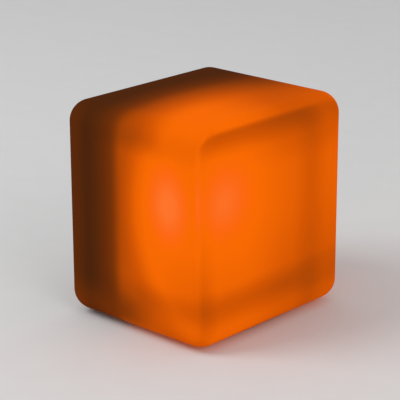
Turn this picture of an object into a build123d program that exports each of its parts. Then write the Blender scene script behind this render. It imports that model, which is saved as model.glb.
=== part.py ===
from build123d import *
import math
import os

# A cordless cube light: an amber, frosted, hollow moulding that glows from a light column at its
# middle. The column, its battery and its controls are one sealed round module, let into the
# underside. Millimetres; +Z is up, the front is -Y, and the origin is on the ground, under the middle.

# ---------------------------------------------------------------- driving sizes

# Fits. A pair of flat faces that seal or seat on each other touches.
screw_fit = 0.05            # radial, a screw in its thread, an insert in its boss, a pin in its bore
slide_fit = 0.25            # round anything that travels in a guide
drop_fit = 0.3              # round anything that is dropped into a pocket
hole_fit = 0.4              # radial, a screw through a clearance hole
rest_gap = 0.1              # between a moving piece and the stop that it rests on
hinge_fit = 0.08            # radial, a knuckle that turns on its pin

# Cube shell
shell_width = 172.0         # X
shell_depth = 196.0         # Y
shell_height = 200.0        # Z, without the feet
edge_radius = 20.0
shell_wall = 3.5
recess_depth = 9.0          # the underside's round recess, up to the ledge that the module seals on
insert_boss_wall = 2.3
insert_boss_roof = 2.0
thread_spare = 1.0          # of an insert's thread, past the end of its screw

# Rubber feet
foot_radius = 8.0
foot_proud = 2.5
foot_pocket = 1.0
foot_chamfer = 0.8
foot_margin = 2.0           # from the foot to where the underside starts to round

# Threaded inserts
insert_radius = 2.9
insert_length = 8.0

# Screws: radius of the shank, radius and height of the pan head
large_screw, large_head, large_head_height = 2.0, 3.8, 2.4
medium_screw, medium_head, medium_head_height = 1.5, 2.8, 1.9
small_screw, small_head, small_head_height = 1.0, 1.9, 1.3
drive_width = 0.9           # of a blade of the cross recess
drive_depth_share = 0.6     # of the head's height

# Module housing, a cup with a flange
cup_wall = 2.5
cup_round = 1.5             # of the roof's rim
lead_room = 6.75            # between the battery cradle's ends and the cup
cell_headroom = 0.95        # between the battery's strap and the roof's bosses
boss_joint = 0.5            # how far a boss or step reaches into the wall that it grows from
blind_end = 1.5             # left at the end of a screw's bore
flange_width = 13.7         # outside the cup
flange_thickness = 4.0
flange_counterbore = 1.8
mouth_fit = 0.8             # between the cup and the shell's mouth, and the flange and the recess
gasket_thickness = 1.5
gasket_margin = 1.0         # from the gasket to the mouth and to the flange's rim
cover_step_width = 3.5
cover_step_height = 2.5
cover_boss_wall = 2.5
cover_boss_height = 12.0
cover_boss_rib = 3.0
roof_boss_wall = 2.5
roof_boss_height = 7.0

# Bottom cover and its seal
cover_thickness = 3.0
cover_counterbore = 1.6
seal_thickness = 1.0
seal_margin = 0.4
standoff_radius = 3.0
post_radius = 3.2
component_room = 7.4        # between the board and the battery cradle
post_gap = 0.95             # between a post and the battery cradle's side
cover_thread_depth = 5.0

# Power button, in the cover's left half
button_x = -17.0
button_radius = 7.0
button_proud = 0.5
button_dish = 0.5
button_flange_width = 1.4
button_flange_thickness = 1.2
button_round = 0.6
button_travel = 1.0
ring_section = 0.6          # radius of the button's sealing ring
spring_wire = 0.3           # radius
spring_turns = 2.5
plunger_radius = 1.6
plunger_length = 2.4
switch_side = 6.4
switch_height = 3.6

# Charge port and its door, in the cover's right half
port_x = 15.0
pocket_length = 18.0        # X
pocket_width = 13.0         # Y
pocket_depth = 3.6
pocket_corner = 1.5
port_block_wall = 4.0
port_block_floor = 2.4
door_thickness = 1.6
door_pin_radius = 0.8
door_pin_bite = 2.4         # how far the pin goes into the block at each end
knuckle_wall = 0.8
knuckle_relief = 0.4        # from the knuckle to the pocket's wall
finger_notch_radius = 5.0
finger_notch_undercut = 0.6  # deeper than the door, so that a nail gets under its edge
door_pad_length = 12.0
door_pad_width = 6.4
door_pad_gap = 0.2          # from the closed door's pad to the socket
socket_length = 8.9
socket_width = 3.3
socket_wall = 0.35
socket_tongue = 0.7

# Small pieces in the cover
light_pipe_radius = 1.5
light_pipe_head = 2.3
light_pipe_head_height = 1.0
light_pipe_gap = 0.5        # to the lamp on the board above it
vent_inset = 16.7           # from the cover's rim to the vent
vent_radius = 4.5
vent_stem_radius = 2.6
vent_head_height = 1.2
vent_stem_proud = 1.5
vent_wall = 1.0
vent_skin = 0.6

# Control board
board_length = 54.0
board_width = 36.0
board_thickness = 1.6
board_screw_inset = 4.0
board_screw_length = 6.0
board_corner = 3.0
coil_side, coil_height, coil_corner = 7.0, 3.0, 1.5
controller_length, controller_width, controller_height = 6.0, 5.0, 1.2
microchip_length, microchip_width, microchip_height = 9.0, 6.0, 1.5
capacitor_radius, capacitor_height = 2.5, 4.5
part_column = 5.0           # from the middle to the parts' columns
part_row = 8.0              # from the middle to their rows
charge_lamp_length = 2.0
charge_lamp_width = 1.2
charge_lamp_height = 0.8

# Battery: two cells in a cradle on the cover's posts
cell_radius = 9.2
cell_length = 64.2
cell_nub_radius = 3.0
cell_nub_height = 0.8
cell_round = 0.6
cell_gap = 0.4              # between the two cells
cradle_floor = 2.0
cradle_end_wall = 1.2
cradle_side_wall = 1.0
cradle_screw_length = 7.0
post_x = 12.0
link_thickness = 0.3
link_width = 7.0
strap_width = 12.0
strap_thickness = 0.8
strap_corner = 4.0

# Light post and what it carries
column_side = 20.0
column_height = 66.0
column_corner = 1.0
column_foot_radius = 19.0
column_foot_thickness = 3.0
head_clearance = 0.5        # from a screw's head to the rim of the flange that it holds
led_board_width = 14.0
led_board_thickness = 1.2
led_board_gap = 4.0         # from the foot to the boards
led_side = 5.0
led_height = 1.6
led_window = 1.9            # radius of the yellow window
led_window_depth = 0.3
led_count = 5               # on each board
led_pitch = 9.6
driver_board_width = 16.0
driver_board_thickness = 1.6
driver_board_gap = 16.0     # from the foot, above the leads' hole
driver_coil_radius, driver_coil_height = 4.5, 4.0
driver_chip_side, driver_chip_height = 5.0, 1.5
driver_capacitor_side, driver_capacitor_height = 3.0, 2.0
driver_part_spacing = 9.0
board_fixing_inset = 3.5    # from a board's end to its screw
board_fixing_length = 6.0
link_board_thickness = 1.0
link_board_overhang = 2.0

# Light dome and its clamp ring
dome_radius = 26.0
dome_wall = 2.0
dome_spring_drop = 8.0      # from the post's top down to where the dome starts to round
dome_flange_width = 5.0
dome_flange_thickness = 2.5
ring_lip = 2.5              # of the clamp ring, over the dome's flange
grommet_wall = 1.5
grommet_lip = 1.6
grommet_lip_height = 1.5

# Leads
lead_radius = 0.9
lead_gap = 0.8              # between the two leads of a pair
lead_slack = 1.8            # round a pair of leads in a bore
lead_exit_slack = 0.8       # round them in the hole out of the post
lead_landing = 4.0          # from the driver board's lower screw to where the leads land
bend_share = 0.45           # of the shorter run beside a bend

# ---------------------------------------------------------------- places worked out from the sizes

floor_z = foot_proud                                    # the shell's underside
ledge_z = floor_z + recess_depth                        # the ledge's underside
flange_top_z = ledge_z - gasket_thickness
flange_z = flange_top_z - flange_thickness              # the module's underside
cover_top_z = flange_z + cover_thickness
step_z = cover_top_z + seal_thickness
button_z = flange_z - button_proud
button_flange_z = cover_top_z + rest_gap                # the button's flange rests a gap above the cover
button_top_z = button_flange_z + button_flange_thickness
board_z = button_top_z + button_travel + rest_gap + switch_height
board_top_z = board_z + board_thickness
cradle_z = board_top_z + component_room
cell_axis_z = cradle_z + cradle_floor + cell_radius + slide_fit
strap_top_z = cell_axis_z + cell_radius + rest_gap + strap_thickness
roof_under_z = strap_top_z + cell_headroom + roof_boss_height
roof_z = roof_under_z + cup_wall                        # the roof's top
foot_top_z = roof_z + column_foot_thickness
column_top_z = foot_top_z + column_height
dome_z = roof_z + seal_thickness
dome_spring_z = column_top_z - dome_spring_drop

cell_spacing = 2 * cell_radius + cell_gap
cell_y = cell_spacing / 2
cradle_length = cell_length + cell_nub_height + 2 * (link_thickness + slide_fit + cradle_end_wall)
cradle_width = cell_spacing + 2 * (cell_radius + slide_fit + cradle_side_wall)
cradle_inside = cradle_length - 2 * cradle_end_wall
post_y = cradle_width / 2 + post_radius + post_gap

cup_bore = cradle_length / 2 + lead_room
cup_radius = cup_bore + cup_wall
mouth_radius = cup_radius + mouth_fit
flange_radius = cup_radius + flange_width
recess_radius = flange_radius + mouth_fit
flange_screw_circle = (mouth_radius + flange_radius) / 2
cover_radius = cup_bore - drop_fit
vent_y = cover_radius - vent_inset
step_bore = cup_bore - cover_step_width
cover_boss_radius = medium_screw + cover_boss_wall
cover_screw_circle = step_bore - cover_boss_radius + boss_joint
roof_boss_radius = medium_screw + roof_boss_wall
column_screw_circle = column_foot_radius - medium_head - head_clearance
dome_flange_radius = dome_radius + dome_flange_width
ring_bore = dome_radius + drop_fit
ring_screw_circle = dome_flange_radius + drop_fit + roof_boss_radius
ring_radius = ring_screw_circle + medium_head + head_clearance

foot_x = shell_width / 2 - edge_radius - foot_radius - foot_margin
foot_y = shell_depth / 2 - edge_radius - foot_radius - foot_margin
board_screw_x = board_length / 2 - board_screw_inset
board_screw_y = board_width / 2 - board_screw_inset

spring_radius = switch_side / math.sqrt(2) + spring_wire + slide_fit

# The door's pin lies along X, at the front side of the pocket.
knuckle_radius = door_pin_radius + hinge_fit + knuckle_wall
door_axis_y = -pocket_width / 2 + knuckle_radius + knuckle_relief
door_axis_z = flange_z + knuckle_radius
pocket_top_z = flange_z + pocket_depth
port_y = (door_axis_y + knuckle_radius + pocket_width / 2) / 2
light_pipe_y = -(board_width / 2 - charge_lamp_width)

led_board_low = foot_top_z + led_board_gap
driver_board_low = foot_top_z + driver_board_gap
column_face = column_side / 2
lead_exit_z = (foot_top_z + driver_board_low) / 2

lead_spacing = 2 * lead_radius + lead_gap
pair_radius = lead_spacing / 2 + lead_radius
column_bore = pair_radius + lead_slack
column_lead_hole = pair_radius + lead_exit_slack
lead_hole_radius = column_bore + grommet_wall

FLAT = (Align.CENTER, Align.CENTER, Align.MIN)
QUARTERS = (0, 90, 180, 270)
DIAGONALS = (45, 135, 225, 315)


# ---------------------------------------------------------------- shapes used by several pieces

def disc(radius, low, high, x=0.0, y=0.0):
    """An upright cylinder between two heights."""
    return Pos(x, y, low) * Cylinder(radius, high - low, align=FLAT)


def ring(outer, inner, low, high, x=0.0, y=0.0):
    """An upright ring between two heights."""
    return disc(outer, low, high, x, y) - disc(inner, low - 1, high + 1, x, y)


def block(length, width, low, high, x=0.0, y=0.0, corner=0.0):
    """An upright box between two heights, with its upright edges rounded if a corner is given."""
    outline = RectangleRounded(length, width, corner) if corner else Rectangle(length, width)
    return Pos(x, y, low) * extrude(outline, high - low)


def rounded_box(width, depth, height, radius, low):
    """A box on a given height with every edge rounded."""
    box = Pos(0, 0, low) * Box(width, depth, height, align=FLAT)
    return fillet(box.edges(), radius)


def round_far_side(box, radius):
    """Rounds the two upright edges of a box that are furthest to the rear."""
    return fillet(box.edges().filter_by(Axis.Z).group_by(Axis.Y)[-1], radius)


def around(angles, radius):
    """Points on a circle at the given angles."""
    return [(radius * math.cos(math.radians(a)), radius * math.sin(math.radians(a))) for a in angles]


def corners(x, y):
    """The four points at plus and minus x and y."""
    return [(sx * x, sy * y) for sx in (-1, 1) for sy in (-1, 1)]


def pan_screw(shank, head, head_height, length):
    """A pan head screw that points up, with the underside of its head at the origin."""
    body = disc(shank, 0, length) + fillet(
        disc(head, -head_height, 0).edges().sort_by(Axis.Z)[0], head_height * 0.45
    )
    depth = head_height * drive_depth_share
    blade = Pos(0, 0, -head_height) * Box(head * 1.2, drive_width, depth, align=FLAT)
    return body - blade - Rot(0, 0, 90) * blade


def large_screws(length):
    return pan_screw(large_screw, large_head, large_head_height, length)


def medium_screws(length):
    return pan_screw(medium_screw, medium_head, medium_head_height, length)


def small_screws(length):
    return pan_screw(small_screw, small_head, small_head_height, length)


def group(pieces):
    """Separate solids that share one node."""
    return Compound(children=list(pieces))


def lead(points):
    """A wire along straight runs joined by tangent arcs, each as large as its two runs allow."""
    spots = [Vector(*p) for p in points]
    radii = []
    for before, here, after in zip(spots, spots[1:], spots[2:]):
        arriving, leaving = here - before, after - here
        shorter = min(arriving.length, leaving.length)
        turn = math.radians(arriving.get_angle(leaving))
        radii.append(bend_share * shorter / math.tan(turn / 2))
    path = FilletPolyline(*spots, radius=radii)
    wire = sweep(Plane(origin=path @ 0, z_dir=path % 0) * Circle(lead_radius), path=path)
    expected = math.pi * lead_radius**2 * path.length
    print("lead length", round(path.length, 1), "bends", [round(r, 1) for r in radii],
          "volume over section times length", round(wire.volume / expected, 4))
    return wire


# ---------------------------------------------------------------- the cube and its feet

def cube_shell():
    """The hollow moulding, with the recess, ledge and screw bosses that the module seats in."""
    outer = rounded_box(shell_width, shell_depth, shell_height, edge_radius, floor_z)
    inner = rounded_box(
        shell_width - 2 * shell_wall, shell_depth - 2 * shell_wall,
        shell_height - 2 * shell_wall, edge_radius - shell_wall, floor_z + shell_wall,
    )
    neck = disc(recess_radius + shell_wall, floor_z, ledge_z + shell_wall) & outer
    shell = outer - inner + neck
    boss_top = ledge_z + insert_length + insert_boss_roof
    for x, y in around(QUARTERS, flange_screw_circle):
        shell += disc(insert_radius + insert_boss_wall, ledge_z, boss_top, x, y)
    shell -= disc(recess_radius, floor_z - 1, ledge_z)
    shell -= disc(mouth_radius, ledge_z - 1, boss_top + 1)
    for x, y in around(QUARTERS, flange_screw_circle):
        shell -= disc(insert_radius + screw_fit, ledge_z - 1, ledge_z + insert_length, x, y)
    for x, y in corners(foot_x, foot_y):
        shell -= disc(foot_radius + drop_fit, floor_z - 1, floor_z + foot_pocket, x, y)
    return shell


def rubber_feet():
    feet = []
    for x, y in corners(foot_x, foot_y):
        foot = disc(foot_radius, 0, floor_z + foot_pocket, x, y)
        feet.append(chamfer(foot.edges().sort_by(Axis.Z)[0], foot_chamfer))
    return group(feet)


def thread_inserts():
    top = ledge_z + insert_length
    return group(
        ring(insert_radius, large_screw + screw_fit, ledge_z, top, x, y)
        for x, y in around(QUARTERS, flange_screw_circle)
    )


# ---------------------------------------------------------------- the module's housing

def flange_gasket():
    gasket = ring(flange_radius - gasket_margin, mouth_radius + gasket_margin, flange_top_z, ledge_z)
    for x, y in around(QUARTERS, flange_screw_circle):
        gasket -= disc(large_screw + hole_fit, flange_top_z - 1, ledge_z + 1, x, y)
    return gasket


def flange_screws():
    seat = flange_z + flange_counterbore
    length = ledge_z + insert_length - thread_spare - seat
    return group(
        Pos(x, y, seat) * large_screws(length) for x, y in around(QUARTERS, flange_screw_circle)
    )


def module_housing():
    """The cup and flange. Its roof carries the light post, and its bosses take the screws."""
    body = disc(flange_radius, flange_z, flange_top_z) + disc(cup_radius, flange_z, roof_z)
    body = fillet(body.edges().filter_by(GeomType.CIRCLE).sort_by(Axis.Z)[-1], cup_round)
    body -= disc(cup_bore, flange_z - 1, roof_under_z)
    body += ring(cup_bore + boss_joint, step_bore, step_z, step_z + cover_step_height)
    for angle, (x, y) in zip(DIAGONALS, around(DIAGONALS, cover_screw_circle)):
        body += disc(cover_boss_radius, step_z, step_z + cover_boss_height, x, y)
        rib_length = cup_bore + boss_joint - cover_screw_circle
        rib = Box(rib_length, cover_boss_rib, cover_boss_height,
                  align=(Align.MIN, Align.CENTER, Align.MIN))
        body += Rot(0, 0, angle) * Pos(cover_screw_circle, 0, step_z) * rib
    for x, y in around(DIAGONALS, ring_screw_circle) + around(QUARTERS, column_screw_circle):
        body += disc(roof_boss_radius, roof_under_z - roof_boss_height, roof_under_z + 1, x, y)
    # Holes: the rings of screws, and the leads' way up into the post.
    for x, y in around(QUARTERS, flange_screw_circle):
        body -= disc(large_screw + hole_fit, flange_z - 1, flange_top_z + 1, x, y)
        body -= disc(large_head + hole_fit, flange_z - 1, flange_z + flange_counterbore, x, y)
    for x, y in around(DIAGONALS, cover_screw_circle):
        body -= disc(medium_screw + screw_fit, step_z - 1, step_z + cover_boss_height - blind_end, x, y)
    for x, y in around(DIAGONALS, ring_screw_circle) + around(QUARTERS, column_screw_circle):
        bore_end = roof_under_z - roof_boss_height + blind_end
        body -= disc(medium_screw + screw_fit, bore_end, roof_z + 1, x, y)
    return body - disc(lead_hole_radius, roof_under_z - 1, roof_z + 1)


def lead_grommet():
    """A rubber grommet in the roof's hole, with a lip under the roof."""
    body = disc(lead_hole_radius, roof_under_z, roof_z)
    body += disc(lead_hole_radius + grommet_lip, roof_under_z - grommet_lip_height, roof_under_z)
    bore_low = roof_under_z - grommet_lip_height - 1
    return body - disc(lead_hole_radius - grommet_wall, bore_low, roof_z + 1)


# ---------------------------------------------------------------- the bottom cover

def bottom_cover():
    """The plate that closes the module: it holds the button, the port, the board and the battery."""
    cover = disc(cover_radius, flange_z, cover_top_z)
    block_length = pocket_length + 2 * port_block_wall
    block_width = pocket_width + 2 * port_block_wall
    cover += block(block_length, block_width, flange_z, pocket_top_z + port_block_floor, port_x)
    for x, y in corners(board_screw_x, board_screw_y):
        cover += disc(standoff_radius, cover_top_z, board_z, x, y)
    for x, y in corners(post_x, post_y):
        cover += disc(post_radius, cover_top_z, cradle_z, x, y)
    pocket = block(pocket_length, pocket_width, flange_z - 1, pocket_top_z, port_x)
    cover -= round_far_side(pocket, pocket_corner)
    notch_top = flange_z + door_thickness + finger_notch_undercut
    cover -= disc(finger_notch_radius, flange_z - 1, notch_top, port_x, pocket_width / 2)
    cover -= block(socket_length + 2 * drop_fit, socket_width + 2 * drop_fit,
                   pocket_top_z - 1, board_z, port_x, port_y)
    pin_length = pocket_length + 2 * door_pin_bite
    pin_bore = Rot(0, 90, 0) * Cylinder(door_pin_radius + screw_fit, pin_length + 2 * screw_fit)
    cover -= Pos(port_x, door_axis_y, door_axis_z) * pin_bore
    cover -= disc(button_radius + slide_fit, flange_z - 1, cover_top_z + 1, button_x)
    cover -= disc(light_pipe_radius + screw_fit, flange_z - 1, cover_top_z + 1, 0, light_pipe_y)
    cover -= disc(vent_stem_radius + screw_fit, flange_z - 1, cover_top_z + 1, 0, vent_y)
    cover -= disc(vent_radius + drop_fit, flange_z - 1, flange_z + vent_head_height, 0, vent_y)
    for x, y in around(DIAGONALS, cover_screw_circle):
        cover -= disc(medium_screw + hole_fit, flange_z - 1, cover_top_z + 1, x, y)
        cover -= disc(medium_head + hole_fit, flange_z - 1, flange_z + cover_counterbore, x, y)
    for x, y in corners(board_screw_x, board_screw_y):
        cover -= disc(small_screw + screw_fit, board_z - cover_thread_depth, board_z + 1, x, y)
    for x, y in corners(post_x, post_y):
        cover -= disc(small_screw + screw_fit, cradle_z - cover_thread_depth - 1, cradle_z + 1, x, y)
    return cover


def cover_seal():
    return ring(cover_radius - seal_margin, step_bore + seal_margin, cover_top_z, step_z)


def cover_screws():
    seat = flange_z + cover_counterbore
    length = step_z + cover_boss_height - 2 * blind_end - seat
    return group(
        Pos(x, y, seat) * medium_screws(length) for x, y in around(DIAGONALS, cover_screw_circle)
    )


def charge_light_pipe():
    """A clear rod that shows the charge lamp on the underside, kept in by its collar."""
    top = board_z - charge_lamp_height - light_pipe_gap
    rod = disc(light_pipe_radius, flange_z, top, 0, light_pipe_y)
    collar_top = cover_top_z + light_pipe_head_height
    return rod + disc(light_pipe_head, cover_top_z, collar_top, 0, light_pipe_y)


def vent_plug():
    """A breathable plug that lets the sealed module's pressure even out."""
    plug = disc(vent_radius, flange_z, flange_z + vent_head_height, 0, vent_y)
    stem_top = cover_top_z + vent_stem_proud
    plug += disc(vent_stem_radius, flange_z, stem_top, 0, vent_y)
    bore = vent_stem_radius - vent_wall
    return plug - disc(bore, flange_z + vent_skin, stem_top + 1, 0, vent_y)


# ---------------------------------------------------------------- power button

def power_button():
    """The cap, with a finger dish, a groove for its ring and a flange that keeps it in."""
    cap = disc(button_radius, button_z, button_flange_z, button_x)
    cap = fillet(cap.edges().sort_by(Axis.Z)[0], button_round)
    cap += disc(button_radius + button_flange_width, button_flange_z, button_top_z, button_x)
    dish_radius = (button_radius**2 * 0.5 + button_dish**2) / (2 * button_dish)
    cap -= Pos(button_x, 0, button_z + button_dish - dish_radius) * Sphere(dish_radius)
    groove_z = (flange_z + cover_top_z) / 2
    groove_bottom = button_radius + slide_fit - 2 * ring_section - 2 * screw_fit
    groove = ring(button_radius + 1, groove_bottom,
                  groove_z - ring_section - screw_fit, groove_z + ring_section + screw_fit, button_x)
    return cap - groove


def button_seal():
    """The sealing ring in the button's groove."""
    middle = button_radius + slide_fit - ring_section - screw_fit
    return Pos(button_x, 0, (flange_z + cover_top_z) / 2) * Torus(middle, ring_section)


def switch_plunger():
    return disc(plunger_radius, button_top_z, button_top_z + plunger_length, button_x)


def switch_body():
    """The tactile switch under the board, with the bore that its plunger travels in."""
    low = board_z - switch_height
    body = block(switch_side, switch_side, low, board_z, button_x)
    bore_top = button_top_z + plunger_length + button_travel + slide_fit
    return body - disc(plunger_radius + slide_fit, low - 1, bore_top, button_x)


def button_spring():
    """A coil between the button's flange and the board, round the switch."""
    low = button_top_z + spring_wire + screw_fit
    height = board_z - spring_wire - screw_fit - low
    coil = Helix(pitch=height / spring_turns, height=height, radius=spring_radius)
    wire = sweep(Plane(origin=coil @ 0, z_dir=coil % 0) * Circle(spring_wire), path=coil,
                 is_frenet=True)
    return Pos(button_x, 0, low) * wire


# ---------------------------------------------------------------- charge port

def charge_socket():
    """An upright socket from the board down to the pocket's floor, with its tongue."""
    wall = 2 * socket_wall
    shell = block(socket_length, socket_width, pocket_top_z, board_z,
                  port_x, port_y, socket_width * 0.45)
    inside = block(socket_length - wall, socket_width - wall, pocket_top_z - 1, board_z - 1.5,
                   port_x, port_y, (socket_width - wall) * 0.45)
    tongue = block(socket_length * 0.72, socket_tongue, pocket_top_z + 0.6, board_z - 1,
                   port_x, port_y)
    return shell - inside + tongue


def door_pin():
    length = pocket_length + 2 * door_pin_bite
    return Pos(port_x, door_axis_y, door_axis_z) * Rot(0, 90, 0) * Cylinder(door_pin_radius, length)


def port_door():
    """The hinged door over the port: a plate that runs tangent into its knuckle."""
    length = pocket_length - 2 * drop_fit
    free_edge = pocket_width / 2 - drop_fit
    plate = block(length, free_edge - door_axis_y, flange_z, flange_z + door_thickness,
                  port_x, (free_edge + door_axis_y) / 2)
    plate = round_far_side(plate, pocket_corner - drop_fit)
    hinge = Pos(port_x, door_axis_y, door_axis_z) * Rot(0, 90, 0)
    knuckle = hinge * Cylinder(knuckle_radius, length)
    return plate + knuckle - hinge * Cylinder(door_pin_radius + hinge_fit, length + 2)


def door_seal():
    """A soft pad on the door's inside that covers the port."""
    low = flange_z + door_thickness
    high = pocket_top_z - door_pad_gap
    return block(door_pad_length, door_pad_width, low, high, port_x, port_y, 1.5)


# ---------------------------------------------------------------- control board

def control_board():
    board = block(board_length, board_width, board_z, board_top_z, 0, 0, board_corner)
    for x, y in corners(board_screw_x, board_screw_y):
        board -= disc(small_screw + screw_fit * 2, board_z - 1, board_top_z + 1, x, y)
    return board


def board_components():
    """On the board's top: the charge controller, its coil, two capacitors and a connector."""
    low = board_top_z
    coil = block(coil_side, coil_side, low, low + coil_height, part_column, part_row, coil_corner)
    controller = block(controller_length, controller_width, low, low + controller_height,
                       -part_column, part_row)
    microchip = block(microchip_length, microchip_width, low, low + microchip_height,
                      -part_column, -part_row)
    capacitors = [
        disc(capacitor_radius, low, low + capacitor_height, x, -part_row)
        for x in (1.5 * part_column, 3 * part_column)
    ]
    lamp = block(charge_lamp_length, charge_lamp_width, board_z - charge_lamp_height, board_z,
                 0, light_pipe_y)
    return group([coil, controller, microchip, *capacitors, lamp])


def board_screws():
    turned = Rot(180, 0, 0) * small_screws(board_screw_length)
    return group(Pos(x, y, board_top_z) * turned for x, y in corners(board_screw_x, board_screw_y))


# ---------------------------------------------------------------- battery

def battery_cradle():
    """A tray with two troughs, a foot for the strap and an ear over each post."""
    cradle = block(cradle_length, cradle_width, cradle_z, cell_axis_z)
    low_edges = cradle.edges().filter_by(Axis.X).group_by(Axis.Z)[0]
    cradle = fillet(low_edges, strap_corner - strap_thickness)
    for x, y in corners(post_x, post_y):
        ear_top = cradle_z + cradle_floor
        cradle += disc(post_radius, cradle_z, ear_top, x, y)
        inner = cradle_width / 2 - cradle_side_wall
        side = math.copysign(1, y)
        cradle += block(2 * post_radius, abs(y) - inner, cradle_z, ear_top,
                        x, side * (abs(y) + inner) / 2)
    for y in (-cell_y, cell_y):
        trough = Rot(0, 90, 0) * Cylinder(cell_radius + slide_fit, cradle_inside)
        cradle -= Pos(0, y, cell_axis_z) * trough
    link_room = link_thickness + slide_fit
    for side in (-1, 1):
        cradle -= block(link_room, cell_spacing + link_width + 2 * slide_fit,
                        cell_axis_z - link_width / 2 - slide_fit, cell_axis_z + 1,
                        side * (cradle_inside - link_room) / 2)
    for x, y in corners(post_x, post_y):
        cradle -= disc(small_screw + screw_fit * 2, cradle_z - 1, cradle_z + cradle_floor + 1, x, y)
    return cradle


def cradle_screws():
    turned = Rot(180, 0, 0) * small_screws(cradle_screw_length)
    seat = cradle_z + cradle_floor
    return group(Pos(x, y, seat) * turned for x, y in corners(post_x, post_y))


def battery_cell(y):
    """One round cell along X, with its positive end to the right."""
    left = -(cell_length + cell_nub_height) / 2
    can = Pos(left, y, cell_axis_z) * Rot(0, 90, 0) * Cylinder(cell_radius, cell_length, align=FLAT)
    can = fillet(can.edges().filter_by(GeomType.CIRCLE), cell_round)
    nub = Cylinder(cell_nub_radius, cell_nub_height, align=FLAT)
    return can + Pos(left + cell_length, y, cell_axis_z) * Rot(0, 90, 0) * nub


def cell_links():
    """The strips welded across the two cells' ends."""
    end = (cell_length + cell_nub_height) / 2
    half = link_width / 2
    return group(
        block(link_thickness, cell_spacing + link_width, cell_axis_z - half, cell_axis_z + half,
              side * (end + link_thickness / 2))
        for side in (-1, 1)
    )


def cell_strap():
    """A band round the cells and the cradle."""
    low = cradle_z
    high = strap_top_z - strap_thickness
    width = cradle_width + 2 * rest_gap
    outer = RectangleRounded(width + 2 * strap_thickness, high - low + 2 * strap_thickness, strap_corner)
    inner = RectangleRounded(width, high - low, strap_corner - strap_thickness)
    band = extrude(Plane.YZ * (outer - inner), strap_width)
    return Pos(-strap_width / 2, 0, (low + high) / 2) * band


# ---------------------------------------------------------------- light post

def light_post():
    """An aluminium column that cools the boards, on a round foot, bored for the leads."""
    post = disc(column_foot_radius, roof_z, foot_top_z)
    post += block(column_side, column_side, roof_z, column_top_z, 0, 0, column_corner)
    post -= disc(column_bore, roof_z - 1, column_top_z + 1)
    exit_hole = Rot(0, -90, 0) * Cylinder(column_lead_hole, column_side, align=FLAT)
    post -= Pos(0, 0, lead_exit_z) * exit_hole
    for x, y in around(QUARTERS, column_screw_circle):
        post -= disc(medium_screw + hole_fit, roof_z - 1, foot_top_z + 1, x, y)
    for hole in board_fixings(small_screw + screw_fit, board_fixing_length):
        post -= hole
    return post


def on_side(angle):
    """Where a piece that is drawn lying against the right side goes, for the side at an angle."""
    return Rot(0, 0, angle)


def fixing_heights(low, high):
    return (low + board_fixing_inset, high - board_fixing_inset)


def board_fixings(radius, depth):
    """Rods into the post at each board's screws."""
    rods = []
    for angle in QUARTERS:
        low = driver_board_low if angle == 180 else led_board_low
        for z in fixing_heights(low, column_top_z):
            rod = Rot(0, -90, 0) * Cylinder(radius, depth, align=FLAT)
            rods.append(on_side(angle) * Pos(column_face + 1, 0, z) * rod)
    return rods


def side_board(angle, width, thickness, low):
    """An upright board against one side of the post, with its two screw holes."""
    high = column_top_z
    board = block(thickness, width, low, high, column_face + thickness / 2)
    for z in fixing_heights(low, high):
        hole = Rot(0, 90, 0) * Cylinder(small_screw + screw_fit * 2, thickness * 4)
        board -= Pos(column_face, 0, z) * hole
    return on_side(angle) * board


def led_chips():
    """A row of square chips up the middle of each of the three lit sides."""
    chips = []
    middle = (led_board_low + column_top_z) / 2
    face = column_face + led_board_thickness
    for angle in (0, 90, 270):
        for k in range(led_count):
            z = middle + (k - (led_count - 1) / 2) * led_pitch
            chip = block(led_height, led_side, z - led_side / 2, z + led_side / 2,
                         face + led_height / 2)
            turned = Rot(0, 90, 0) * Cylinder(led_window, 2 * led_window_depth)
            window = Pos(face + led_height, 0, z) * turned
            chips.append(on_side(angle) * (chip - window))
    return group(chips)


def on_board(side, height, face, y, z):
    """A square part that stands off an upright face."""
    return block(height, side, z - side / 2, z + side / 2, face + height / 2, y)


def driver_components():
    """On the driver board: its coil, its chip and two capacitors."""
    face = column_face + driver_board_thickness
    middle = (driver_board_low + column_top_z) / 2
    round_coil = Cylinder(driver_coil_radius, driver_coil_height, align=FLAT)
    coil = Pos(face, 0, middle) * Rot(0, 90, 0) * round_coil
    chip = on_board(driver_chip_side, driver_chip_height, face, 0, middle - driver_part_spacing)
    capacitors = [
        on_board(driver_capacitor_side, driver_capacitor_height, face, side * driver_part_spacing / 2,
                 middle + driver_part_spacing)
        for side in (-1, 1)
    ]
    return group(on_side(180) * piece for piece in (coil, chip, *capacitors))


def board_fixing_screws():
    """The eight small screws that hold the upright boards to the post."""
    screws = []
    for angle in QUARTERS:
        driver = angle == 180
        low = driver_board_low if driver else led_board_low
        thickness = driver_board_thickness if driver else led_board_thickness
        for z in fixing_heights(low, column_top_z):
            turned = Rot(0, -90, 0) * small_screws(board_fixing_length)
            screws.append(on_side(angle) * Pos(column_face + thickness, 0, z) * turned)
    return group(screws)


def link_board():
    """The small board on the post's top that joins the four upright ones."""
    side = column_side + 2 * (led_board_thickness + link_board_overhang)
    top = column_top_z + link_board_thickness
    return block(side, side, column_top_z, top, 0, 0, 2.0) - disc(
        column_bore, column_top_z - 1, top + 1
    )


def post_screws():
    length = column_foot_thickness + cup_wall + roof_boss_height - 2 * blind_end
    turned = Rot(180, 0, 0) * medium_screws(length)
    return group(
        Pos(x, y, foot_top_z) * turned for x, y in around(QUARTERS, column_screw_circle)
    )


# ---------------------------------------------------------------- light dome

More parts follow.
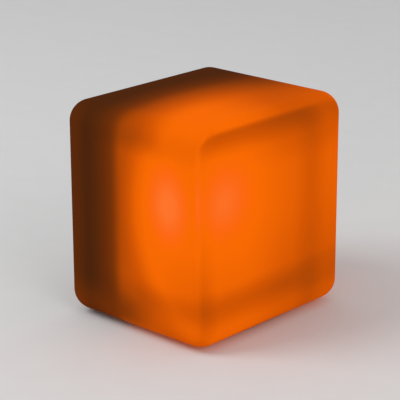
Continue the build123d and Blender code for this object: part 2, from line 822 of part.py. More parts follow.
def light_dome():
    """The frosted tube with a round top over the post, on a flange."""
    outside = disc(dome_radius, dome_z, dome_spring_z)
    outside += Pos(0, 0, dome_spring_z) * Sphere(dome_radius)
    outside += disc(dome_flange_radius, dome_z, dome_z + dome_flange_thickness)
    bore = dome_radius - dome_wall
    inside = disc(bore, dome_z - 1, dome_spring_z) + Pos(0, 0, dome_spring_z) * Sphere(bore)
    return outside - inside


def dome_seal():
    return ring(dome_flange_radius - seal_margin, dome_radius - dome_wall + seal_margin,
                roof_z, dome_z)


def dome_ring():
    """The clamp ring: a lip over the dome's flange and a skirt down to the roof."""
    lip_z = dome_z + dome_flange_thickness
    body = disc(ring_radius, roof_z, lip_z + ring_lip)
    body = fillet(body.edges().sort_by(Axis.Z)[-1], 1.0)
    body -= disc(dome_flange_radius + drop_fit, roof_z - 1, lip_z)
    body -= disc(ring_bore, roof_z - 1, lip_z + ring_lip + 1)
    for x, y in around(DIAGONALS, ring_screw_circle):
        body -= disc(medium_screw + hole_fit, roof_z - 1, lip_z + ring_lip + 1, x, y)
    return body


def dome_ring_screws():
    seat = dome_z + dome_flange_thickness + ring_lip
    length = seat - roof_under_z + roof_boss_height - 2 * blind_end
    turned = Rot(180, 0, 0) * medium_screws(length)
    return group(Pos(x, y, seat) * turned for x, y in around(DIAGONALS, ring_screw_circle))


# ---------------------------------------------------------------- leads

def battery_lead(side):
    """From the strip on a cell end, round the cradle's end, down to the board."""
    strip = (cell_length + cell_nub_height) / 2 + link_thickness / 2
    outside = cradle_length / 2 + 4.0
    above = cell_axis_z + link_width / 2
    between = (board_top_z + cradle_z) / 2
    landing = board_length / 2 - 7.0
    route = [
        (strip, 0, above),
        (strip, 0, above + 6.0),
        (outside, 0, above + 6.0),
        (outside, 0, between),
        (landing, 0, between),
        (landing, 0, board_top_z),
    ]
    return lead([(side * x, y, z) for x, y, z in route])


def led_lead(side):
    """From the board, up beside the cradle, through the grommet and the post to the driver board."""
    apart = side * lead_spacing / 2
    beside_x = -(post_x + post_radius + 3.0)
    beside_y = -(cradle_width / 2 + strap_thickness + 2 * lead_radius)
    x = beside_x - apart
    bearing = math.atan2(-beside_y, -beside_x)
    half_way_x = beside_x / 2 - apart * math.sin(bearing)
    half_way_y = beside_y / 2 + apart * math.cos(bearing)
    gather_z = roof_under_z - grommet_lip_height - 4.0
    face_x = -(column_face + driver_board_thickness)
    landing_z = driver_board_low + board_fixing_inset + small_head + lead_landing
    route = [
        (x, -12.0, board_top_z),
        (x, -12.0, board_top_z + 3.2),
        (x, beside_y, board_top_z + 7.0),
        (x, beside_y, gather_z - 4.0),
        (half_way_x, half_way_y, gather_z),
        (0, apart, gather_z + 1.0),
        (0, apart, lead_exit_z),
        (face_x - 4.0, apart, lead_exit_z),
        (face_x - 4.0, apart, landing_z),
        (face_x, apart, landing_z),
    ]
    return lead(route)


# ---------------------------------------------------------------- every node, by name

NODES = {
    "cube_shell": cube_shell,
    "rubber_feet": rubber_feet,
    "thread_inserts": thread_inserts,
    "flange_gasket": flange_gasket,
    "flange_screws": flange_screws,
    "module_housing": module_housing,
    "lead_grommet": lead_grommet,
    "bottom_cover": bottom_cover,
    "cover_seal": cover_seal,
    "cover_screws": cover_screws,
    "charge_light_pipe": charge_light_pipe,
    "vent_plug": vent_plug,
    "power_button": power_button,
    "button_seal": button_seal,
    "button_spring": button_spring,
    "switch_plunger": switch_plunger,
    "switch_body": switch_body,
    "charge_socket": charge_socket,
    "door_pin": door_pin,
    "port_door": port_door,
    "door_seal": door_seal,
    "control_board": control_board,
    "board_components": board_components,
    "board_screws": board_screws,
    "battery_cradle": battery_cradle,
    "cradle_screws": cradle_screws,
    "battery_cell_front": lambda: battery_cell(-cell_y),
    "battery_cell_rear": lambda: battery_cell(cell_y),
    "cell_links": cell_links,
    "cell_strap": cell_strap,
    "light_post": light_post,
    "post_screws": post_screws,
    "led_board_right": lambda: side_board(0, led_board_width, led_board_thickness, led_board_low),
    "led_board_rear": lambda: side_board(90, led_board_width, led_board_thickness, led_board_low),
    "led_board_front": lambda: side_board(270, led_board_width, led_board_thickness, led_board_low),
    "driver_board": lambda: side_board(
        180, driver_board_width, driver_board_thickness, driver_board_low
    ),
    "led_chips": led_chips,
    "driver_components": driver_components,
    "board_fixing_screws": board_fixing_screws,
    "link_board": link_board,
    "light_dome": light_dome,
    "dome_seal": dome_seal,
    "dome_ring": dome_ring,
    "dome_ring_screws": dome_ring_screws,
    "battery_lead_positive": lambda: battery_lead(1),
    "battery_lead_negative": lambda: battery_lead(-1),
    "led_lead_positive": lambda: led_lead(1),
    "led_lead_negative": lambda: led_lead(-1),
}

os.makedirs("parts", exist_ok=True)
for name, make in NODES.items():
    export_step(make(), f"parts/{name}.step")
print(len(NODES), "nodes")
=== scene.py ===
# %% [markdown]
# # A glowing garden cube
# The object is a cordless cube light for a terrace: a hollow amber moulding, lit from inside by a column
# of lamps, with its battery and controls in a round module that is let into the underside. The packed
# CAD model gives every piece and its place. Here the shell is made again as one smooth mesh, and each
# finish is built from nodes, with no image textures.

# %% Load the frame
import bpy
import bmesh
import math
from mathutils import Matrix, Vector


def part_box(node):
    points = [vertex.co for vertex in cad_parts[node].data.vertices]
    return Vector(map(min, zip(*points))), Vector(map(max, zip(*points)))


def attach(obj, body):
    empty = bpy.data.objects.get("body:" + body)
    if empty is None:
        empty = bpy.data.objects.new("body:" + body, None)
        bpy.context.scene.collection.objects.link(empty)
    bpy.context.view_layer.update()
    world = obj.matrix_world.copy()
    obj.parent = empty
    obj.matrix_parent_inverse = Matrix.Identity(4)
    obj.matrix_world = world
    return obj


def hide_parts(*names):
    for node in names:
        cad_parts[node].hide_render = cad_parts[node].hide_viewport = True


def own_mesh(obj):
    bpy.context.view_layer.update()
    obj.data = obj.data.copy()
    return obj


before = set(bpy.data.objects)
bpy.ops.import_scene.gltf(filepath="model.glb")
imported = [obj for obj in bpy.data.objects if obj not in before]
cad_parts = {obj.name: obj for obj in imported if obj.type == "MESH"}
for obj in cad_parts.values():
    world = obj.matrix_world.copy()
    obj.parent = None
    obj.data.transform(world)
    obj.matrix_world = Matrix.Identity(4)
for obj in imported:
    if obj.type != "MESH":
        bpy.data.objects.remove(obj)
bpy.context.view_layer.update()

# %% [markdown]
# ## Sizes
# A mesh that stands for a CAD piece has to lie exactly where that piece lies, so its sizes are read from
# the frame where the frame has them. Only what a box can't tell, such as a radius, is written here.

# %% Read the cube's sizes
MM = 0.001
shell_low, shell_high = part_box("cube_shell")
shell_size = shell_high - shell_low
middle = (shell_low + shell_high) / 2
edge_radius = 20 * MM
wall = 3.5 * MM
recess_radius = 58 * MM
recess_depth = 9 * MM
mouth_radius = 44.3 * MM
foot_pocket_radius = 8.3 * MM
foot_pocket_depth = 1 * MM
print("shell in mm", [round(v / MM, 1) for v in shell_size])

# %% [markdown]
# ## The shell
# The real shell is rotationally moulded polyethylene: one hollow piece with no seam and soft, even edges.
# A cube whose edges are bevelled gives just that, and the bevel's arcs keep the true radius. A thin inset
# on each flat face keeps the flats flat when the mesh is shaded smooth.

# %% A box with round edges
flat_inset = 1 * MM


def rounded_box(bm, size, radius, segments):
    made = bmesh.ops.create_cube(bm, size=1)["verts"]
    bmesh.ops.scale(bm, vec=size, verts=made)
    bmesh.ops.translate(bm, vec=middle, verts=made)
    edges = list({edge for vert in made for edge in vert.link_edges})
    bmesh.ops.bevel(bm, geom=edges, offset=radius, offset_type="OFFSET", segments=segments,
                    profile=0.5, affect="EDGES", material=-1)
    flats = sorted(bm.faces, key=lambda face: face.calc_area())[-6:]
    for face in flats:
        bmesh.ops.inset_region(bm, faces=[face], thickness=flat_inset, use_even_offset=True)
    return flats


# %% [markdown]
# The underside has openings: a round recess with a ledge that the module seals against, and a shallow
# pocket for each foot. Each starts as a circle that is drawn in the flat face, and its edge is then
# pulled up and in, ring by ring, the way that a lathe profile is followed.

# %% Open the underside
def open_underside(bm, bottom, circles):
    height = bottom.calc_center_median().z
    rim = list(bottom.edges)
    bmesh.ops.delete(bm, geom=[bottom], context="FACES_ONLY")
    rings = []
    for x, y, radius, segments in circles:
        verts = bmesh.ops.create_circle(bm, cap_ends=False, radius=radius, segments=segments)["verts"]
        bmesh.ops.translate(bm, vec=(x, y, height), verts=verts)
        rings.append(list({edge for vert in verts for edge in vert.link_edges}))
    every_edge = rim + [edge for ring in rings for edge in ring]
    bmesh.ops.triangle_fill(bm, use_beauty=True, use_dissolve=False, edges=every_edge)
    return rings


def pull_ring(bm, ring, radius_from, radius_to, rise, centre):
    """Extrudes a ring of edges, and moves the new one to another radius and height."""
    made = bmesh.ops.extrude_edge_only(bm, edges=ring)["geom"]
    verts = [item for item in made if isinstance(item, bmesh.types.BMVert)]
    scale = radius_to / radius_from
    bmesh.ops.scale(bm, vec=(scale, scale, 1), verts=verts,
                    space=Matrix.Translation(-Vector((centre[0], centre[1], 0))))
    bmesh.ops.translate(bm, vec=(0, 0, rise), verts=verts)
    return [item for item in made if isinstance(item, bmesh.types.BMEdge)
            and all(vert in verts for vert in item.verts)]


# %% Make the shell
def lowest_face(faces):
    return min(faces, key=lambda face: face.calc_center_median().z)


feet_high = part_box("rubber_feet")[1]
foot_radius = 8 * MM
foot_places = [(sx * (feet_high.x - foot_radius), sy * (feet_high.y - foot_radius))
               for sx in (-1, 1) for sy in (-1, 1)]
recess_sides, foot_sides = 96, 32

outer = bmesh.new()
flats = rounded_box(outer, shell_size, edge_radius, segments=20)
circles = [(0, 0, recess_radius, recess_sides)]
circles += [(x, y, foot_pocket_radius, foot_sides) for x, y in foot_places]
ring, *pockets = open_underside(outer, lowest_face(flats), circles)
for pocket, centre in zip(pockets, foot_places):
    top = pull_ring(outer, pocket, foot_pocket_radius, foot_pocket_radius, foot_pocket_depth, centre)
    bmesh.ops.contextual_create(outer, geom=top)
radius = recess_radius
for next_radius, rise in ((recess_radius, recess_depth), (mouth_radius, 0), (mouth_radius, wall),
                          (recess_radius + wall, 0), (recess_radius + wall, -recess_depth)):
    ring = pull_ring(outer, ring, radius, next_radius, rise, (0, 0))
    radius = next_radius
outer_mesh = bpy.data.meshes.new("outer_skin")
outer.to_mesh(outer_mesh)
outer.free()
print("outer skin faces", len(outer_mesh.polygons))

# %% [markdown]
# The inside of the wall is a second, smaller box that meets the recess's wall in a circle. The two skins
# are joined, their matching edges merged, and every face turned to point out of the plastic.

# %% Add the inside of the wall
merge_distance = 0.01 * MM
crease_angle = math.radians(40)

shell_bm = bmesh.new()
flats = rounded_box(shell_bm, shell_size - Vector((2 * wall,) * 3), edge_radius - wall, segments=8)
open_underside(shell_bm, lowest_face(flats), [(0, 0, recess_radius + wall, recess_sides)])
bmesh.ops.reverse_faces(shell_bm, faces=shell_bm.faces[:])
shell_bm.from_mesh(outer_mesh)
bpy.data.meshes.remove(outer_mesh)
bmesh.ops.remove_doubles(shell_bm, verts=shell_bm.verts[:], dist=merge_distance)
bmesh.ops.recalc_face_normals(shell_bm, faces=shell_bm.faces[:])
for face in shell_bm.faces:
    face.smooth = True
for edge in shell_bm.edges:
    if len(edge.link_faces) == 2 and edge.calc_face_angle(0) > crease_angle:
        edge.smooth = False
open_edges = sum(len(edge.link_faces) != 2 for edge in shell_bm.edges)
volume = shell_bm.calc_volume()
shell_mesh = bpy.data.meshes.new("amber_shell")
shell_bm.to_mesh(shell_mesh)
shell_bm.free()
amber_shell = bpy.data.objects.new("amber_shell", shell_mesh)
bpy.context.collection.objects.link(amber_shell)
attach(amber_shell, "lamp")
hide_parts("cube_shell")
print("shell: open edges", open_edges, "volume in cm3", round(volume * 1e6, 1))

# %% [markdown]
# ## Colours and nodes
# Colours are written as the sRGB values that a screen shows, and one function turns them into the linear
# light that the renderer works in. A second small function adds a node, sets it and links it.

# %% Two helpers
def linear(hex_code):
    parts = [int(hex_code[i:i + 2], 16) / 255 for i in (1, 3, 5)]
    return Vector([v / 12.92 if v <= 0.04045 else ((v + 0.055) / 1.055) ** 2.4 for v in parts])


def add_node(tree, kind, settings=None, **inputs):
    """Adds a node. A setting is an attribute; an input is a value or another node's output."""
    node = tree.nodes.new(kind)
    for name, value in (settings or {}).items():
        setattr(node, name, value)
    for name, value in inputs.items():
        key = int(name[1:]) if name[1:].isdigit() else name.replace("_", " ")
        if isinstance(value, bpy.types.NodeSocket):
            tree.links.new(value, node.inputs[key])
        else:
            node.inputs[key].default_value = value
    return node


def new_material(name):
    material = bpy.data.materials.new(name)
    material.use_nodes = True
    material.node_tree.nodes.clear()
    return material, material.node_tree


# %% [markdown]
# ## Frosted amber polyethylene
# The shell is tinted plastic with a satin skin, lit from inside. Scattering through a whole wall could be
# traced as a volume, but that is slow and noisy, and the glow would be lost on export. So the plastic is
# given the dark amber that it has where no light comes through, and the glow is laid on it as emission
# whose strength is worked out from where a point lies: near a lamp, near an edge, or behind the driver
# board on the left, where the column carries no lamps. Places are in millimetres from the cube's middle.

# %% A place on the cube, in millimetres
amber, tree = new_material("rotomoulded_amber_polyethylene")
coordinates = add_node(tree, "ShaderNodeTexCoord")
to_middle = add_node(tree, "ShaderNodeMapping", {"vector_type": "POINT"},
                     Vector=coordinates.outputs["Object"],
                     Location=-middle / MM, Scale=(1 / MM, 1 / MM, 1 / MM))
place = to_middle.outputs["Vector"]
split = add_node(tree, "ShaderNodeSeparateXYZ", Vector=place)
across, along, up = split.outputs["X"], split.outputs["Y"], split.outputs["Z"]
half = shell_size / 2 / MM
print("walls lie", half.x, half.y, "and", half.z, "mm from the middle")

# %% [markdown]
# A few shapes of light are enough. A rise is made of soft steps, and each adds something between two
# places. A band is a soft stripe, and a pool is a soft round patch that may have an even core. A pool on a
# wall has no limit in the direction through the wall, so its reach there is a whole metre. Lights are added
# up, with shades taken off, and one light takes over from another by a share that runs from 0 to 1.
#
# The shapes were chosen by looking at the lit cube. Most of their numbers come from a least-squares fit to
# its photographed colours, which was made outside this script, and they are rounded here. The left wall and
# the sole can't be seen in the photograph, so theirs are given without a fit.

# %% Rises, bands and pools of light
DARK = 0.0
THROUGH = 1000


def added_up(lights, shades=()):
    """Adds up the lights and takes the shades off. Each is a number or a node's output."""
    total = lights[0]
    for operation, values in (("ADD", lights[1:]), ("SUBTRACT", shades)):
        for value in values:
            node = add_node(tree, "ShaderNodeMath", {"operation": operation}, _0=total, _1=value)
            total = node.outputs[0]
    return total


def rising(value, *steps):
    """Adds up soft steps, each given by where it starts, where it ends and how much it adds."""
    return added_up([add_node(tree, "ShaderNodeMapRange", {"interpolation_type": "SMOOTHSTEP"},
                              Value=value, From_Min=start, From_Max=end, To_Max=gain).outputs[0]
                     for start, end, gain in steps])


def band(value, centre, half_width, strength):
    away = add_node(tree, "ShaderNodeMath", {"operation": "ABSOLUTE"}, _0=added_up([value], [centre]))
    return rising(away.outputs[0], (half_width, 0, strength))


def pool(centre, reach, strength, core=0.0):
    away = add_node(tree, "ShaderNodeVectorMath", {"operation": "SUBTRACT"}, _0=place, _1=centre)
    shrunk = add_node(tree, "ShaderNodeVectorMath", {"operation": "DIVIDE"},
                      _0=away.outputs[0], _1=reach)
    distance = add_node(tree, "ShaderNodeVectorMath", {"operation": "LENGTH"}, _0=shrunk.outputs[0])
    return rising(distance.outputs["Value"], (1, core, strength))


def taking_over(first, *others):
    """Lets each further light take over from what stands before it, by that light's share."""
    for light, share in others:
        mix = add_node(tree, "ShaderNodeMix", {"data_type": "FLOAT"}, _0=share, _2=first, _3=light)
        first = mix.outputs[0]
    return first


# %% [markdown]
# The front and the rear wall are lit alike. A curtain of shade hangs over their left part, where no lamp
# faces them, and only a little stray light comes through there. The rest is an even, rounded field of
# light, dimmer above the foot and, on the left, under the crown, with one hot spot from the column.

# %% The front and rear walls
front_level = 0.7
curtain = rising(across, (-24.6, -8.6, 0.34), (-55, 9.8, 0.66))
crown_shade = added_up([1.0], [rising(across, (25, 47, 0.632))])
crown_band = taking_over(DARK, (crown_shade, band(up, 82.7, 19.8, 0.161)))
field = added_up([front_level, pool((107, 0, 21), (121, THROUGH, 140), 0.28, core=0.73)],
                 [band(up, -62.7, 19.6, 0.103), crown_band,
                  pool((-11.5, 0, -82), (49, THROUGH, 24.5), 0.369)])
stray_light = added_up([rising(up, (-58, -86, 0.116)), rising(across, (-53, -70, 0.069))])
front_spot = pool((46.3, 0, 28.9), (33, THROUGH, 48.8), 0.323)
front_light = added_up([taking_over(stray_light, (field, curtain)), front_spot])
print("front and rear walls: the amber has", len(tree.nodes), "nodes so far")

# %% [markdown]
# The right wall is lit all over, a little less towards the rear. It looks framed, because its light falls
# off just inside each edge: under the crown, beside the near edge, above the foot and before the rear.
# Near the rear edge the frame fades again in its two corners.

# %% The right wall
right_level = 1.022
right_frame = [rising(up, (70, 98, 0.334)), rising(along, (-76, -160, 0.6)),
               band(up, -61.6, 21.6, 0.158), band(along, 47, 27, 0.087)]
right_fall = [rising(along, (-53, 36.4, 0.15)), rising(up, (27, -77.6, 0.12)),
              pool((0, 50, 77), (THROUGH, 157, 32.5), 0.112)]
right_spot = pool((0, -69.8, 33.9), (THROUGH, 41, 42), 0.2)
rear_corners = [pool((0, 65, 102), (THROUGH, 48.5, 35), 0.225),
                pool((0, 70, -61), (THROUGH, 63, 15), 0.087)]
right_light = added_up([right_level, right_spot] + rear_corners, right_frame + right_fall)
print("right wall:", len(right_frame + right_fall), "shades and", 1 + len(rear_corners), "pools of light")

# %% [markdown]
# The driver board stands between the lamps and the left wall, so that wall is dim. A little light goes
# round the board, and the board's own shadow is a soft upright stripe in the middle of it.

# %% The left wall
left_middle = (-half.x, 0, 0)
left_glow = pool(left_middle, (30, 85, 95), 0.26)
board_shadow = pool(left_middle, (30, 34, 84), 0.2)
print("left wall lies", -half.x, "mm across")

# %% [markdown]
# The top has the same curtain on its left, which here ends in a curve, and its light falls off to the rear.
# The curve is a parabola: the further along from its vertex, the more the curtain's edge moves right.

# %% The top
top_level = 0.979
vertex_along, bow = -2.5, 0.00168
from_vertex = added_up([along], [vertex_along])
squared = add_node(tree, "ShaderNodeMath", {"operation": "POWER"}, _0=from_vertex, _1=2.0)
curve = add_node(tree, "ShaderNodeMath", {"operation": "MULTIPLY"}, _0=squared.outputs[0], _1=bow)
curved_across = added_up([across], [curve.outputs[0]])
top_curtain = rising(curved_across, (-58, 34.6, 0.908), (-31.7, -11.3, 0.092))
top_field = added_up([top_level, pool((half.x, half.y, 0), (89, 86.6, THROUGH), 0.375)],
                     [rising(along, (-55.6, 160, 0.77))])
top_light = taking_over(DARK, (top_field, top_curtain))
print("top: the amber has", len(tree.nodes), "nodes so far")

# %% [markdown]
# The light of one wall gives way to that of the next in the middle of the rounded edge. How far a point
# lies beyond each wall tells where that is: on the edge's middle two of the distances are equal. At the
# near edge a part of the change is sudden, and it moves to the right where the crown begins, so that the
# right wall's dark frame ends in a round corner. A thin bright line runs up beside it. The sole is dimmer
# than the walls, most of all round the module, which stands in the light's way.

# %% How far a point lies beyond each wall
sideways, lengthways = [
    add_node(tree, "ShaderNodeMath", {"operation": "ABSOLUTE"}, _0=value).outputs[0]
    for value in (across, along)]
beyond_right = added_up([across], [half.x])
beyond_side = added_up([sideways], [half.x])
beyond_front = added_up([lengthways], [half.y])
beyond_top = added_up([up], [half.z])
beyond_sole = added_up([-half.z], [up])
to_right = added_up([beyond_right], [beyond_front, rising(up, (83, 105, 18.4))])
print("edges are", edge_radius / MM, "mm round")

# %% Where the walls meet
right_share = rising(to_right, (-5.3, 2.4, 0.407), (-15.7, 17.7, 0.593))
top_share = add_node(tree, "ShaderNodeMath", {"operation": "MINIMUM"},
                     _0=rising(added_up([beyond_top], [beyond_side]), (-4.9, 4.9, 1)),
                     _1=rising(added_up([beyond_top], [beyond_front]), (-19.3, 29.2, 1)))
sole_share = add_node(tree, "ShaderNodeMath", {"operation": "MINIMUM"},
                      _0=rising(added_up([beyond_sole], [beyond_side]), (-12, 20, 1)),
                      _1=rising(added_up([beyond_sole], [beyond_front]), (-12, 20, 1)))
line_light = added_up([rising(up, (-74, 40, 0.047)), band(up, 34.8, 36.7, 0.115)])
edge_line = taking_over(DARK, (line_light, band(to_right, -4.2, 5.9, 1.0)))
foot_shade = pool((half.x, -half.y, -57.4), (74, 24, 59), 0.116)
all_round = taking_over(front_light, (right_light, right_share))
walls = added_up([all_round, edge_line, left_glow], [foot_shade, board_shadow])
sole_level = 0.62
module_shade = pool((0, 0, -half.z), (105, 105, THROUGH), 0.26, core=0.5)
sole_light = taking_over(DARK, (added_up([sole_level], [module_shade]), curtain))
brightness = taking_over(walls, (top_light, top_share.outputs[0]), (sole_light, sole_share.outputs[0]))
print("all walls joined with", len(tree.nodes), "nodes")

# %% [markdown]
# The brightness picks a colour from a ramp. Thin light through amber plastic is a dark brown, more of it
# turns orange, and at the lamps the red is full and the colour starts to pale. The ten colours were matched
# to medians of the photographed cube's colours at equal brightness. What the plastic itself reflects is
# taken off each colour first, because the room's light adds it again.

# %% From brightness to colour
unlit_amber = linear("#3A1C04")
ramp_top = 1.3
glow_steps = [
    (0.00, "#4E260D"), (0.15, "#692E0A"), (0.30, "#823709"), (0.44, "#9B4108"), (0.62, "#BA4C06"),
    (0.79, "#D75804"), (0.99, "#FA6B03"), (1.07, "#FD690F"), (1.15, "#FE6B1B"), (1.27, "#FF752C"),
]
position = add_node(tree, "ShaderNodeMath", {"operation": "DIVIDE"}, _0=brightness, _1=ramp_top)
ramp = add_node(tree, "ShaderNodeValToRGB", Fac=position.outputs[0])
elements = ramp.color_ramp.elements
while len(elements) < len(glow_steps):
    elements.new(0.5)
for element, (level, colour) in zip(elements, glow_steps):
    element.position = level / ramp_top
for element, (level, colour) in zip(elements, glow_steps):
    element.color = [max(a - b, 0) for a, b in zip(linear(colour), unlit_amber)] + [1]
print("glow ramp has", len(elements), "steps")

# %% [markdown]
# The skin of the moulding is satin, with the faint orange-peel of a textured mould. Its grain is about
# half a millimetre wide, drawn at one and a half so that it shows at all. Polyethylene reflects a little,
# at a specular level of about 0.5. Here that level is turned down to almost nothing, to match the
# photographed cube, on which no reflection can be seen.

# %% The satin skin
grain_width, peel_width = 1.5, 14
grain = add_node(tree, "ShaderNodeTexNoise", Vector=place,
                 Scale=1 / grain_width, Detail=3.0, Roughness=0.6)
peel = add_node(tree, "ShaderNodeTexNoise", Vector=place,
                Scale=1 / peel_width, Detail=2.0, Roughness=0.5)
height = add_node(tree, "ShaderNodeMath", {"operation": "MULTIPLY_ADD"},
                  _0=peel.outputs["Fac"], _1=2.0, _2=grain.outputs["Fac"])
bump = add_node(tree, "ShaderNodeBump", Height=height.outputs[0], Strength=0.08, Distance=0.05 * MM)
satin = add_node(tree, "ShaderNodeMapRange", Value=grain.outputs["Fac"],
                 From_Min=0.3, From_Max=0.7, To_Min=0.52, To_Max=0.6)
skin = add_node(tree, "ShaderNodeBsdfPrincipled", Base_Color=(*unlit_amber, 1),
                Roughness=satin.outputs[0], IOR=1.51, Specular_IOR_Level=0.001,
                Emission_Color=ramp.outputs["Color"], Emission_Strength=1.0,
                Normal=bump.outputs["Normal"])
add_node(tree, "ShaderNodeOutputMaterial", Surface=skin.outputs["BSDF"])
amber_shell.data.materials.append(amber)
print("the finished amber has", len(tree.nodes), "nodes and", len(tree.links), "links")

# %% [markdown]
# ## The other finishes
# The rest of the lamp is plastic, rubber, metal, board and cable. Most share one build: a colour that
# wanders a little between two shades, and a fine grain that sets the roughness and the bump. The grain's
# width in millimetres is what tells a moulded texture from a brushed or a sawn one, and stretching it
# along one axis gives brushing, drawing and weave. Real grain of this kind is a tenth or two of a
# millimetre wide and wouldn't show, so it is drawn a few times coarser.

# %% One build for moulded, brushed and rubbed surfaces
roughness_spread = 0.07
grains_per_patch = 12


def grained(name, shade, lighter, grain_mm, roughness, metallic=0.0, bump_mm=0.02, stretch=(1, 1, 1),
            ior=1.5, transmission=0.0):
    material, tree = new_material(name)
    coordinates = add_node(tree, "ShaderNodeTexCoord")
    in_mm = add_node(tree, "ShaderNodeMapping", Vector=coordinates.outputs["Object"],
                     Scale=[1 / MM / s for s in stretch])
    fine = add_node(tree, "ShaderNodeTexNoise", Vector=in_mm.outputs[0],
                    Scale=1 / grain_mm, Detail=4.0, Roughness=0.6)
    broad = add_node(tree, "ShaderNodeTexNoise", Vector=in_mm.outputs[0],
                     Scale=1 / (grains_per_patch * grain_mm), Detail=2.0, Roughness=0.5)
    tone = add_node(tree, "ShaderNodeMix", {"data_type": "RGBA"}, _0=broad.outputs["Fac"],
                    _6=(*linear(shade), 1), _7=(*linear(lighter), 1))
    rough = add_node(tree, "ShaderNodeMapRange", Value=fine.outputs["Fac"], From_Min=0.3, From_Max=0.7,
                     To_Min=roughness - roughness_spread, To_Max=roughness + roughness_spread)
    relief = add_node(tree, "ShaderNodeBump", Height=fine.outputs["Fac"],
                      Strength=0.5, Distance=bump_mm * MM)
    surface = add_node(tree, "ShaderNodeBsdfPrincipled", Base_Color=tone.outputs[2],
                       Roughness=rough.outputs[0], Metallic=metallic, IOR=ior,
                       Transmission_Weight=transmission, Normal=relief.outputs["Normal"])
    add_node(tree, "ShaderNodeOutputMaterial", Surface=surface.outputs["BSDF"])
    return material


def dress(material, *nodes):
    for name in nodes:
        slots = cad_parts[name].material_slots
        for slot in slots:
            slot.material = material
    print(material.name, "on", len(nodes), "nodes")


# %% Rubber and silicone
dress(grained("moulded_black_rubber", "#1C1C1D", "#2A2A2B", 0.5, 0.82, bump_mm=0.04), "rubber_feet")
dress(grained("grey_silicone", "#7E8083", "#94969A", 0.6, 0.6),
      "flange_gasket", "cover_seal", "dome_seal", "button_seal", "door_seal", "lead_grommet")

# %% Moulded plastics
dress(grained("white_polycarbonate_blend", "#D6D6D1", "#E2E2DE", 0.7, 0.5),
      "module_housing", "dome_ring")
dress(grained("charcoal_abs_spark_texture", "#2F3033", "#3B3C3F", 0.45, 0.62, bump_mm=0.06),
      "bottom_cover", "port_door")
dress(grained("grey_abs_button", "#8E9093", "#9DA0A3", 0.5, 0.48), "power_button")
dress(grained("black_vent_plastic", "#161617", "#222223", 0.4, 0.7), "vent_plug")
dress(grained("glass_filled_nylon", "#232426", "#2E2F31", 0.5, 0.6), "battery_cradle")
dress(grained("black_switch_plastic", "#1B1B1C", "#262627", 0.4, 0.5), "switch_body", "switch_plunger")

# %% Metals
dress(grained("machined_brass", "#B98F48", "#CFA65C", 0.4, 0.35, metallic=1.0), "thread_inserts")
stainless_steel = grained("stainless_steel", "#A7A9AC", "#BDBFC2", 0.3, 0.34, metallic=1.0)
dress(stainless_steel, "flange_screws", "cover_screws", "board_screws", "cradle_screws", "post_screws",
      "board_fixing_screws", "dome_ring_screws", "door_pin")
dress(grained("drawn_socket_steel", "#B4B4B5", "#C6C6C7", 0.3, 0.3, metallic=1.0, stretch=(1, 1, 6)),
      "charge_socket")
dress(grained("nickel_strip", "#B7B3A8", "#C8C4B8", 0.3, 0.3, metallic=1.0, stretch=(1, 6, 1)),
      "cell_links")
dress(grained("extruded_aluminium", "#BEC0C2", "#D0D2D4", 0.3, 0.38, metallic=1.0, stretch=(1, 1, 12)),
      "light_post")

# %% [markdown]
# The power button is lifted back by a coil spring of steel wire, which gets shorter when the button is
# pressed. A copy of the CAD spring stands for it, and the copy's loose triangles are merged.

# %% The spring
spring_merge_distance = 0.001 * MM
spring_bm = bmesh.new()
spring_bm.from_mesh(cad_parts["button_spring"].data)
bmesh.ops.remove_doubles(spring_bm, verts=spring_bm.verts[:], dist=spring_merge_distance)
spring_mesh = bpy.data.meshes.new("wire_spring")
spring_bm.to_mesh(spring_mesh)
spring_bm.free()
wire_spring = bpy.data.objects.new("wire_spring", spring_mesh)
bpy.context.collection.objects.link(wire_spring)
wire_spring.data.materials.clear()
wire_spring.data.materials.append(stainless_steel)
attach(wire_spring, "lamp")
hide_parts("button_spring")
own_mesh(wire_spring)

# %% Boards, cells and cables
dress(grained("green_solder_mask", "#12401F", "#1B5A2C", 0.5, 0.4), "control_board", "driver_board")
dress(grained("white_solder_mask", "#E4E4E1", "#F0F0EE", 0.5, 0.45),
      "led_board_right", "led_board_rear", "led_board_front", "link_board")
dress(grained("black_epoxy", "#1A1A1B", "#28282A", 0.3, 0.55), "board_components", "driver_components")
dress(grained("blue_cell_wrap", "#2C5C9C", "#366AAE", 0.8, 0.35, stretch=(8, 1, 1)),
      "battery_cell_front", "battery_cell_rear")
dress(grained("woven_black_strap", "#141415", "#2A2A2C", 0.6, 0.9, bump_mm=0.1, stretch=(1, 4, 4)),
      "cell_strap")
dress(grained("red_cable_sheath", "#9C1410", "#B41E18", 0.4, 0.45),
      "battery_lead_positive", "led_lead_positive")
dress(grained("black_cable_sheath", "#121213", "#1E1E1F", 0.4, 0.45),
      "battery_lead_negative", "led_lead_negative")
dress(grained("yellow_phosphor", "#E8B83A", "#F2CB55", 0.4, 0.5), "led_chips")

# %% Clear and frosted plastics
dress(grained("clear_acrylic_rod", "#EEF2F3", "#F6F8F9", 0.6, 0.12, ior=1.49, transmission=0.9),
      "charge_light_pipe")
dress(grained("frosted_polycarbonate", "#EDEBE4", "#F5F3EC", 0.5, 0.55, ior=1.58, transmission=0.5),
      "light_dome")

# %% [markdown]
# ## Floor, light and camera
# The cube stands on a plain pale floor. A bright, even sky and two wide, weak lamps light it softly, at a
# level at which a colour renders about as it is written, so that the glow keeps its own colours.

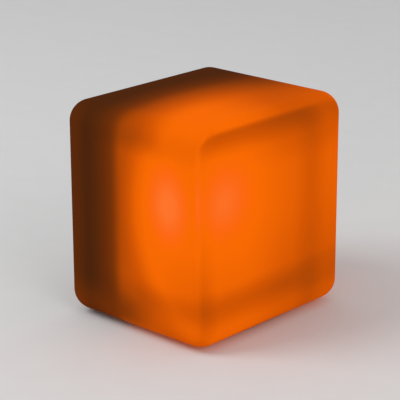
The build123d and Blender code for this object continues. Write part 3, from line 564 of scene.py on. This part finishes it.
# %% The floor
floor_reach = 6.0
floor_bm = bmesh.new()
bmesh.ops.create_grid(floor_bm, x_segments=1, y_segments=1, size=floor_reach)
floor_mesh = bpy.data.meshes.new("floor")
floor_bm.to_mesh(floor_mesh)
floor_bm.free()
floor = bpy.data.objects.new("floor", floor_mesh)
bpy.context.collection.objects.link(floor)
floor.data.materials.append(grained("pale_matt_floor", "#D6D6D6", "#DADADA", 3.0, 0.9, bump_mm=0.05))
print("the floor reaches", floor_reach, "m each way")

# %% The light
sky_strength = 0.6
sky = bpy.data.worlds.new("soft_sky")
sky.use_nodes = True
sky.node_tree.nodes["Background"].inputs["Color"].default_value = (*linear("#FFFFFF"), 1)
sky.node_tree.nodes["Background"].inputs["Strength"].default_value = sky_strength
bpy.context.scene.world = sky


def soft_lamp(name, place, size, power):
    lamp = bpy.data.lights.new(name, "AREA")
    lamp.shape = "DISK"
    lamp.size = size
    lamp.energy = power
    lamp_object = bpy.data.objects.new(name, lamp)
    lamp_object.location = place
    lamp_object.rotation_euler = (middle - Vector(place)).to_track_quat("-Z", "Y").to_euler()
    bpy.context.collection.objects.link(lamp_object)
    print(name, "is", size, "m wide and gives", power, "W")


soft_lamp("high_left_lamp", (-1.2, -1.6, 2.2), 1.6, 32)
soft_lamp("low_right_lamp", (2.0, -0.6, 1.2), 1.4, 10)

# %% [markdown]
# The camera looks at the corner between the front and the right side, from a little above, through a long
# lens. The body's middle lies a few pixels right of the picture's middle, so the camera is turned past it.

# %% The camera
azimuth, elevation, roll = math.radians(42.58), math.radians(18.34), math.radians(-0.203)
distance = 1.544
focal_in_pixels = 1684
pixels_right, pixels_down = 5.47, 0.46
picture_width = 400
sensor_width = 36

back = Vector((math.sin(azimuth) * math.cos(elevation), -math.cos(azimuth) * math.cos(elevation),
               math.sin(elevation)))
right = Vector((math.cos(azimuth), math.sin(azimuth), 0))
upward = back.cross(right)
aim = middle - right * (pixels_right / focal_in_pixels * distance)
aim += upward * (pixels_down / focal_in_pixels * distance)
where = middle + back * distance
camera_data = bpy.data.cameras.new("camera")
camera_data.sensor_width = sensor_width
camera_data.lens = focal_in_pixels * sensor_width / picture_width
camera = bpy.data.objects.new("camera", camera_data)
look = (aim - where).to_track_quat("-Z", "Y").to_matrix().to_4x4()
camera.matrix_world = Matrix.Translation(where) @ look @ Matrix.Rotation(roll, 4, "Z")
bpy.context.collection.objects.link(camera)
bpy.context.scene.camera = camera
bpy.context.scene.view_settings.view_transform = "Standard"
print("lens", round(camera_data.lens, 1), "mm at", round(distance, 3), "m")
